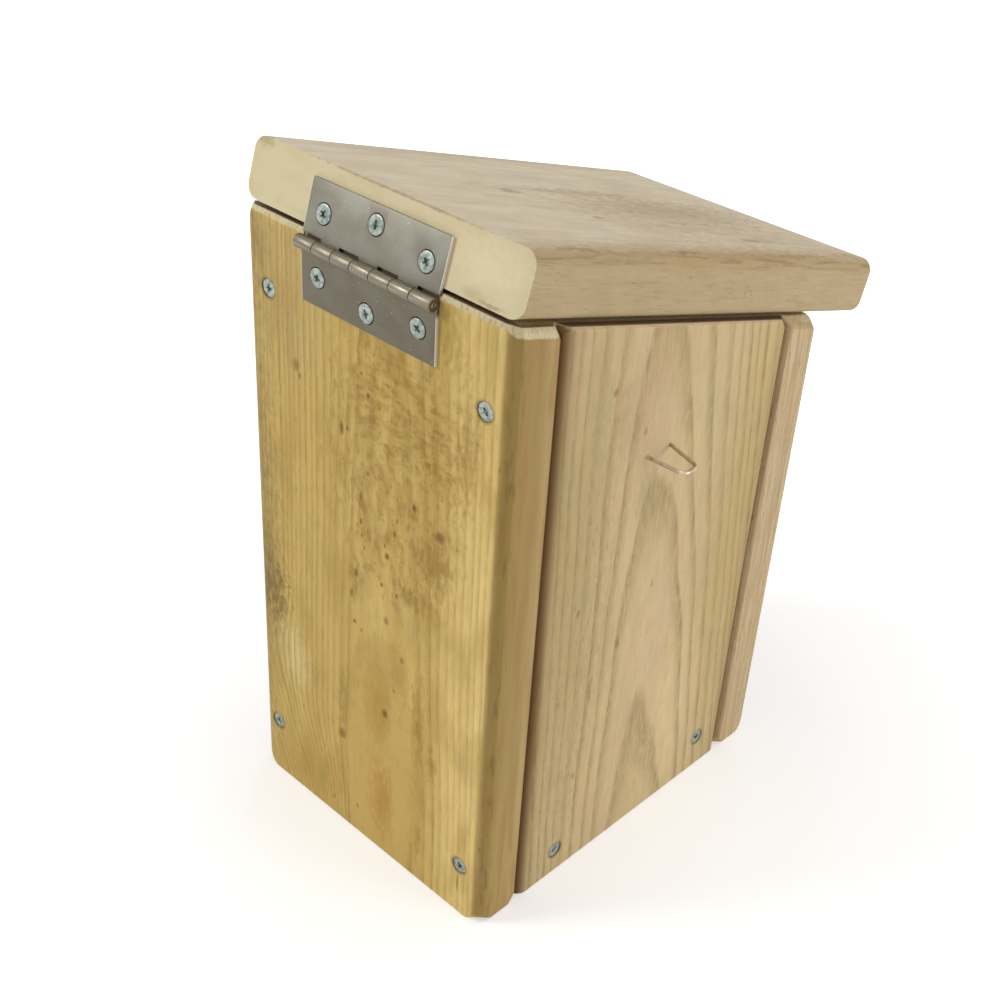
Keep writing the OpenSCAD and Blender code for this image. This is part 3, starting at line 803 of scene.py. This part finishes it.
SCREW_R = 2.0
CORE_R = 1.3
HEAD_R = 4.0
THREAD_PITCH = 1.8
TIP_L = 4.0
RECESS_L = 5.0
RECESS_W = 1.3
RECESS_D = 1.2


def cross_bar(length, width, depth, angle):
    """A bar that narrows downwards, one arm pair of the recess"""
    bpy.ops.mesh.primitive_cube_add(size=2, location=(0, 0, 0))
    bar = bpy.context.object
    start_edit(bar, "SELECT")
    bpy.ops.transform.resize(value=(length / 2, width / 2, depth))
    pick(bar, "faces", lambda middle: middle.z < -0.5 * depth)
    bpy.ops.transform.resize(value=(0.42, 0.62, 1))
    stop_edit()
    bar.rotation_euler = (0, 0, angle)
    apply_moves()
    return bar


def make_screw(length):
    """A countersunk screw along Z with its face at 0, modelled in millimetres"""
    plain = length / 3
    bpy.ops.mesh.primitive_circle_add(vertices=40, radius=HEAD_R - 0.5, fill_type="NGON")
    screw = bpy.context.object
    start_edit(screw, "SELECT")
    radius = HEAD_R - 0.5
    level = 0.0
    for new_radius, new_level in (
        (HEAD_R - 0.2, -0.07), (HEAD_R - 0.05, -0.17), (HEAD_R, -0.28), (HEAD_R - 0.05, -0.4),
        (SCREW_R + 0.08, -2.3), (SCREW_R, -2.45), (SCREW_R, -plain), (CORE_R, -plain - 0.7),
        (CORE_R, TIP_L - length), (0.35, 0.4 - length), (0.1, -length),
    ):
        extrude((0, 0, new_level - level))
        bpy.ops.transform.resize(value=(new_radius / radius, new_radius / radius, 1))
        radius = new_radius
        level = new_level
    close_edit()
    for angle in (0, math.pi / 2):
        cut(screw, cross_bar(RECESS_L, RECESS_W, RECESS_D, angle))
    cut(screw, cross_bar(2.3, 2.3, RECESS_D * 0.9, math.pi / 4))
    for angle in (math.pi / 4, -math.pi / 4):
        cut(screw, cross_bar(5.6, 0.22, 0.12, angle))
    bpy.ops.mesh.primitive_circle_add(
        vertices=3, radius=0.52, rotation=(math.pi / 2, 0, 0), location=(CORE_R + 0.05, 0, TIP_L - length),
    )
    thread = bpy.context.object
    apply_moves()
    start_edit(thread, "SELECT")
    bpy.ops.transform.resize(value=(1, 1, 1.15), center_override=(CORE_R, 0, TIP_L - length))
    stop_edit()
    turns = int((length - TIP_L - plain) / THREAD_PITCH)
    modify(
        thread, "SCREW", angle=2 * math.pi, screw_offset=THREAD_PITCH, iterations=turns, steps=20,
        render_steps=20, use_merge_vertices=True,
    )
    start_edit(thread)
    bpy.ops.mesh.select_mode(type="EDGE")
    bpy.ops.mesh.select_non_manifold()
    bpy.ops.mesh.edge_face_add()
    close_edit(0.0005)
    select_only(screw)
    thread.select_set(True)
    bpy.ops.object.join()
    smooth_below(32)
    return screw


def start_metal(name):
    """A material, its output node and the object coordinates in millimetres"""
    material, tree, surface = start_material(name)
    here = add_node(tree, "TexCoord").outputs["Object"]
    return material, surface, vector_math("MULTIPLY", here, [1 / MM] * 3)


zinc, surface, spot = start_metal("screw_zinc")
clouds = scatter(spot, (1.6, 1.6, 1.6), 3.0, 1.0)
colour = mix_colours(remap(clouds, 0.35, 0.65), sample(122, 133, 127), sample(168, 177, 168))
rough = remap(clouds, 0.3, 0.7, 0.3, 0.5, "LINEAR")
coat(surface, {"Base Color": colour, "Metallic": 0.75, "Roughness": rough})

TURN_STEP = math.radians(37)
FACE_BACK = Matrix.Rotation(-math.pi / 2, 3, "X")
FACE_FRONT = Matrix.Rotation(math.pi / 2, 3, "X")
box_screw = make_screw(50.0)
box_screw.data.materials.append(zinc)


def drive(pattern, node_name, body, facing, turn, place):
    """Places a copy of a screw with its head's face at a place, and lets it stand for its node"""
    driven = copy_of(pattern, "zinc_" + node_name)
    set_down(driven, facing @ Matrix.Rotation(turn, 3, "Z"), place)
    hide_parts(node_name)
    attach(driven, body)


def head_place(node_name, axis, out):
    """Middle of the face of a CAD screw that looks along an axis (0 to 2), up (out = 1) or down it"""
    low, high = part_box(node_name)
    place = (low + high) / 2
    place[axis] = high[axis] if out > 0 else low[axis]
    return place


for i in range(4):
    for node_name, facing, out in (
        ("back_screw_%d" % (i + 1), FACE_BACK, 1), ("front_screw_%d" % (i + 1), FACE_FRONT, -1),
    ):
        drive(box_screw, node_name, "box", facing, i * TURN_STEP, head_place(node_name, 1, out))
for i in range(2):
    for side, out in (("left", -1), ("right", 1)):
        node_name = "floor_screw_%s_%d" % (side, i + 1)
        facing = Matrix.Rotation(out * math.pi / 2, 3, "Y")
        drive(box_screw, node_name, "box", facing, (i + 1) * TURN_STEP, head_place(node_name, 0, out))
bpy.data.objects.remove(box_screw)

# Wire staples: galvanised wire bent to a narrow crown, its two legs driven into the side board a
# little below level. The hanging wire goes through them.
WIRE_R = 0.8
SPREAD = 15.0
CROWN = 8.8
BEND_R = 3.3
STAPLE_OUT = 16.8
STAPLE_IN = 16.0
POINT_L = 2.5
DROOP = math.radians(6)
lean = math.atan((SPREAD - CROWN) / 2 / STAPLE_OUT)
half_crown = CROWN / 2 - BEND_R * math.tan((math.pi / 2 - lean) / 2)
leg_end = Vector((-SPREAD / 2 - STAPLE_IN * math.tan(lean), -STAPLE_IN, 0))
bend_middle = Vector((-half_crown, STAPLE_OUT - BEND_R, 0))
bend_end = bend_middle + BEND_R * Vector((-math.cos(lean), math.sin(lean), 0))
bpy.ops.mesh.primitive_circle_add(
    vertices=20, radius=WIRE_R, location=(0, STAPLE_OUT, 0), rotation=(0, math.pi / 2, 0),
)
staple = bpy.context.object
apply_moves()
start_edit(staple, "SELECT")
extrude((-half_crown, 0, 0))
bpy.ops.mesh.spin(steps=14, angle=lean - math.pi / 2, center=bend_middle, axis=(0, 0, 1))
down = leg_end - bend_end
extrude(down)
extrude(down.normalized() * POINT_L)
bpy.ops.transform.resize(value=(0.25, 0.25, 0.25), center_override=leg_end + down.normalized() * POINT_L)
bpy.ops.mesh.edge_face_add()
stop_edit()
modify(staple, "MIRROR", use_axis=(True, False, False), merge_threshold=0.01)
start_edit(staple)
close_edit(0.01)
smooth_below(40)

wire, surface, spot = start_metal("staple_wire")
clouds = scatter(spot, (2.5, 2.5, 5), 2.0, 2.0)
colour = mix_colours(remap(clouds, 0.3, 0.7), sample(176, 160, 134), sample(204, 192, 172))
rough = remap(clouds, 0.3, 0.7, 0.26, 0.36, "LINEAR")
coat(surface, {"Base Color": colour, "Metallic": 1.0, "Roughness": rough})
staple.data.materials.append(wire)
for side, out in (("left", -1), ("right", 1)):
    node_name = "wire_staple_" + side
    low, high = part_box(node_name)
    wire_high = WIRE_R * MM * math.cos(DROOP)
    base_x = out * BOARD_W / 2 * MM
    base_z = high.z - (STAPLE_IN * math.sin(DROOP) * MM + wire_high)
    driven = copy_of(staple, "bent_staple_" + side)
    facing = Matrix.Rotation(out * DROOP, 3, "Y") @ Matrix.Rotation(-out * math.pi / 2, 3, "Z")
    set_down(driven, facing, (base_x, (low.y + high.y) / 2, base_z))
    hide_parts(node_name)
    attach(driven, "box")
bpy.data.objects.remove(staple)

# Hinge leaves: pressed steel, each cut to tongues that are rolled round the pin, with three
# countersunk holes. The lower one is screwed to the back board, the upper one to the lid's end.
HINGE_L = 75.0
LEAF_REACH = 25.0
LEAF_T = 1.4
PIN_R = 1.35
BARREL_R = PIN_R + LEAF_T
KNUCKLES = 7
KNUCKLE_L = HINGE_L / KNUCKLES
KNUCKLE_GAP = 0.3
NOTCH_H = BARREL_R + 0.9
SHEET_Y = LEAF_T / 2 - BARREL_R
CURL = math.radians(296)
HOLES = ((28.0, 12.9), (0.0, 17.5), (-28.0, 12.9))
HEAD_PROUD = 0.3
HINGE_AXIS = Vector(frame["joints"][0]["pos_m"])


def countersink(x, z):
    """A cone that cuts a countersunk hole, its wide end towards +Y"""
    depth = HEAD_R - SCREW_R + 0.9
    bpy.ops.mesh.primitive_cone_add(
        vertices=48, radius1=SCREW_R + 0.1, radius2=HEAD_R + 1.0, depth=depth,
        location=(x, LEAF_T - BARREL_R + 0.5 - depth / 2, z), rotation=(-math.pi / 2, 0, 0),
    )
    return bpy.context.object


def make_leaf(name, steel, first):
    """A leaf about its own axis in millimetres, plate towards +Z, with every second knuckle"""
    bpy.ops.mesh.primitive_plane_add(size=1, location=(0, 0, 0), rotation=(math.pi / 2, 0, 0))
    leaf = bpy.context.object
    apply_moves()
    start_edit(leaf, "SELECT")
    bpy.ops.transform.resize(value=(HINGE_L, 1, LEAF_REACH - NOTCH_H))
    bpy.ops.transform.translate(value=(0, SHEET_Y, (LEAF_REACH + NOTCH_H) / 2))
    spans = []
    for k in range(first, KNUCKLES, 2):
        x0 = -HINGE_L / 2 + k * KNUCKLE_L + (KNUCKLE_GAP / 2 if k > 0 else 0)
        x1 = -HINGE_L / 2 + (k + 1) * KNUCKLE_L - (KNUCKLE_GAP / 2 if k < KNUCKLES - 1 else 0)
        spans.append((x0, x1))
        for x in (x0, x1):
            if abs(x) < HINGE_L / 2 - 0.01:
                bpy.ops.mesh.select_all(action="SELECT")
                bpy.ops.mesh.bisect(plane_co=(x, 0, 0), plane_no=(1, 0, 0))

    def on_tongue(middle):
        return abs(middle.z - NOTCH_H) < 0.01 and any(x0 < middle.x < x1 for x0, x1 in spans)

    pick(leaf, "edges", on_tongue)
    bpy.ops.mesh.extrude_edges_move(TRANSFORM_OT_translate={"value": (0, 0, -NOTCH_H)})
    bpy.ops.mesh.spin(steps=30, angle=-CURL, center=(0, 0, 0), axis=(1, 0, 0))
    close_edit()
    modify(leaf, "SOLIDIFY", thickness=LEAF_T, offset=0, use_even_offset=True)
    for x, z in HOLES:
        cut(leaf, countersink(x, z))
    modify(leaf, "BEVEL", width=0.16, segments=2, limit_method="ANGLE", angle_limit=math.radians(50))
    smooth_below(25)
    leaf.name = name
    leaf.data.materials.append(steel)
    return leaf


def make_steel(name, plain, smudged):
    """Satin steel sheet: faint rolling lines, cloudy smudges, bright specks, a browner barrel and a
    painted highlight on the ends of the leaf
    """
    material, surface, spot = start_metal(name)
    clouds = scatter(spot, (13, 13, 9), 3.0, 1.0)
    colour = mix_colours(remap(clouds, 0.36, 0.64), plain, smudged)
    from_axis = vector_math("SUBTRACT", spot, HINGE_AXIS / MM)
    radius = length_of(vector_math("MULTIPLY", from_axis, (0, 1, 1)))
    barrel = remap(radius, 3.4, 2.9)
    colour = tint(colour, barrel, 0.85, (142, 134, 116))
    rolled = scatter(spot, (24, 0.3, 0.3), 2.0, 2.0)
    drawn = times(barrel, remap(rolled, 0.44, 0.56))
    colour = tint(colour, drawn, 0.6, (92, 84, 70))
    speck = remap(scatter(spot, (0.8, 0.8, 0.6), 1.0, 3.0), 0.72, 0.77)
    colour = tint(colour, speck, 0.5, (226, 214, 196))
    rough = calculate("MULTIPLY_ADD", rolled, 0.12, remap(clouds, 0.3, 0.7, 0.4, 0.5, "LINEAR"))
    rough = calculate("MULTIPLY_ADD", barrel, -0.1, rough)
    # Painted highlight: the ends of the leaf painted bright and less metallic
    sideways = calculate("ABSOLUTE", parts_of(spot)["X"])
    end_highlight = times(remap(sideways, 37.15, 37.35), remap(radius, 4, 7))
    colour = tint(colour, end_highlight, 0.9, (250, 244, 232))
    metal = remap(end_highlight, 0.0, 1.0, 0.85, 0.15, "LINEAR")
    bump = {"Height": rolled, "Strength": 0.12, "Distance": 0.1 * MM}
    coat(surface, {"Base Color": colour, "Metallic": metal, "Roughness": rough}, bump)
    return material


# Painted light: one steel in two tones, darker on the upright lower leaf and its pin, lighter on the
# sloping upper leaf, for how the light falls on them
shaded_lower_steel = make_steel("hinge_steel_lower_shaded", sample(102, 95, 80), sample(110, 105, 90))
lit_upper_steel = make_steel("hinge_steel_upper_lit", sample(122, 117, 104), sample(132, 130, 118))
lower_leaf = make_leaf("rolled_lower_leaf", shaded_lower_steel, 0)
DOWN = Matrix.Rotation(math.pi, 3, "X") @ Matrix.Rotation(math.pi, 3, "Z")
set_down(lower_leaf, DOWN, HINGE_AXIS)
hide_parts("hinge_lower_leaf")
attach(lower_leaf, "box")
upper_leaf = make_leaf("rolled_upper_leaf", lit_upper_steel, 1)
ON_LID = Matrix.Rotation(LID_SLOPE, 3, "X")
set_down(upper_leaf, ON_LID, HINGE_AXIS)
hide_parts("hinge_upper_leaf")
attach(upper_leaf, "lid")

# Hinge pin: a steel rod through all seven knuckles, pressed in the lower leaf, with ends that
# were struck to a low dome
DOME = 0.3
bpy.ops.mesh.primitive_cylinder_add(
    vertices=32, radius=PIN_R - 0.02, depth=HINGE_L, rotation=(0, math.pi / 2, 0),
)
pin = bpy.context.object
pin.name = "turned_hinge_pin"
apply_moves()
for end in (-1, 1):
    start_edit(pin)
    pick(pin, "faces", lambda middle: abs(middle.x - end * HINGE_L / 2) < 0.01)
    for rim, rise in ((0.22, 0.7), (0.3, 0.3), (0.25, -0.8)):
        bpy.ops.mesh.inset(thickness=rim, depth=0)
        bpy.ops.transform.translate(value=(end * DOME * rise, 0, 0))
    close_edit()
smooth_below(40)
pin.data.materials.append(shaded_lower_steel)
set_down(pin, Matrix.Identity(3), HINGE_AXIS)
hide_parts("hinge_pin")
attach(pin, "box")

# Hinge screws: short countersunk screws of the same make, three in each leaf
hinge_screw = make_screw(20.0)
hinge_screw.data.materials.append(zinc)
face_y = LEAF_T - BARREL_R + HEAD_PROUD
for i, (x, reach) in enumerate(HOLES):
    place = HINGE_AXIS + Vector((x, face_y, -reach)) * MM
    drive(hinge_screw, "hinge_lower_screw_%d" % (i + 1), "box", FACE_BACK, (i + 2) * TURN_STEP, place)
    place = HINGE_AXIS + ON_LID @ Vector((x, face_y, reach)) * MM
    facing = ON_LID @ FACE_BACK
    drive(hinge_screw, "hinge_upper_screw_%d" % (i + 1), "lid", facing, (i + 4) * TURN_STEP, place)
bpy.data.objects.remove(hinge_screw)

# Lid: one wide board, pale beige, its ends cut square. The cream end grain carries the upper leaf,
# and the top has a darker rough patch where the planer tore the wood beside a knot.
ALONG_LID = Matrix.Rotation(-math.pi / 2 - LID_SLOPE, 3, "X").to_euler()
wood_values = {
    "Seed": 7.0, "Heart": (10, -80, 0), "Lean": (0.0, 0.04, 0), "Ring": 3.6, "Wander": 1.6,
    "Early": sample(221, 205, 176), "Late": sample(195, 175, 142), "Stain": sample(190, 168, 134),
    "Lines": 0.4, "Narrow": 0.5, "Stained": 0.35, "Flecks": 0.3,
}
lid_wood, surface, board, wood = start_wood("lid_wood", ALONG_LID, HINGE_AXIS / MM, wood_values)
across = parts_of(board)
TOP = 31.4
LID_END = 240.75
colour = face_spots(board, wood.outputs["Color"], (
    (-20, 165, 52, 90, 0.45, (190, 165, 130), 0.7, 0.4),
    (14, 122, 8, 62, 0.5, (158, 136, 116), 0.9, 0.5),
    (-8, 165, 24, 80, 0.4, (164, 140, 106), 0.8, 0.6),
    (9, 80, 5, 9, 0.65, (122, 104, 86), 0.9, 0.5),
    (-25, 97, 3, 6, 0.55, (134, 118, 76), 0.9, 0.5),
    (-50, 176, 4, 18, 0.55, (140, 112, 78), 0.9, 0.6),
    (74, 120, 18, 200, 0.85, (176, 170, 138), 1.0, 0.2),
    (-78, 120, 38, 260, 0.5, (190, 164, 116), 1.0, 0.2),
    (-74, 120, 20, 240, 0.9, (174, 144, 96), 1.0, 0.3),
    (-69, 34, 4, 24, 0.6, (150, 118, 74), 0.9, 0.6),
    (-69, 96, 3.4, 12, 0.65, (140, 106, 66), 0.9, 0.6),
    (-70, 175, 3.4, 40, 0.45, (150, 122, 78), 0.9, 0.8),
    (-67, 228, 4, 12, 0.45, (150, 124, 80), 0.9, 0.8),
), TOP, 8)
torn = mark(board, (-20, TOP, 170), (50, 8, 85), 0.8, 0.4)
colour = mottle(board, colour, (
    (torn, (5, 8, 12), 0.5, 0.64, 0.4, (160, 134, 98), 1.0),
    (torn, (2, 8, 5), 0.58, 0.68, 0.4, (138, 112, 80), 2.0),
))
side_face = remap(calculate("ABSOLUTE", across["X"]), 70, 73.5)
colour = tint(colour, side_face, 0.85, (188, 163, 121))
arris = times(side_face, remap(across["Y"], 25, 30))
colour = mottle(board, colour, (
    (side_face, (9, 5, 18), 0.42, 0.62, 0.35, (176, 154, 106), 3.0),
    (side_face, (9, 0.9, 12), 0.52, 0.68, 0.3, (160, 134, 92), 4.0),
    (arris, (6, 1.5, 24), 0.5, 0.62, 0.6, (148, 118, 76), 5.0),
    (side_face, (6, 1.0, 7), 0.64, 0.7, 0.5, (146, 116, 76), 9.0),
))
colour = tint(colour, mark(board, (-75, 17, 139), (6, 4, 0.9), 0.8, 0.3), 0.4, (150, 124, 88))
end_face = remap(across["Z"], 3.4, 2.9)
colour = tint(colour, end_face, 0.88, (236, 222, 178))
colour = mottle(board, colour, (
    (end_face, (26, 9, 20), 0.42, 0.62, 0.4, (240, 216, 174), 6.0),
    (end_face, (14, 7, 20), 0.48, 0.66, 0.35, (216, 204, 150), 7.0),
))
far_end = remap(across["Z"], LID_END - 0.6, LID_END - 0.1)
colour = tint(colour, far_end, 0.6, (228, 212, 168))
colour = spots(board, colour, (
    ((-52, 9, 2.8), (9, 3.5, 3), 0.4, (196, 160, 122), 0.9, 0.6),
    ((-60, 7.6, 2.8), (9, 1.3, 3), 0.55, (156, 118, 88), 0.9, 0.6),
    ((-10, TOP, 2.8), (62, 1.0, 3), 0.6, (150, 118, 74), 0.9, 0.5),
    ((70, 30, 2.8), (9, 4, 3), 0.5, (160, 148, 92), 0.9, 0.5),
    ((-56, 20, 2.8), (24, 14, 3), 0.6, (252, 238, 196), 0.9, 0.3),
))
# Painted shade on the lid's lower arris, above the gap to the boards
lid_arris_shade = times(remap(across["Y"], 8.6, 6.8), calculate("SUBTRACT", 1.0, end_face))
colour = tint(colour, lid_arris_shade, 0.4, (110, 76, 38))
finish_wood(surface, colour, wood)
dress("roof_board", lid_wood)
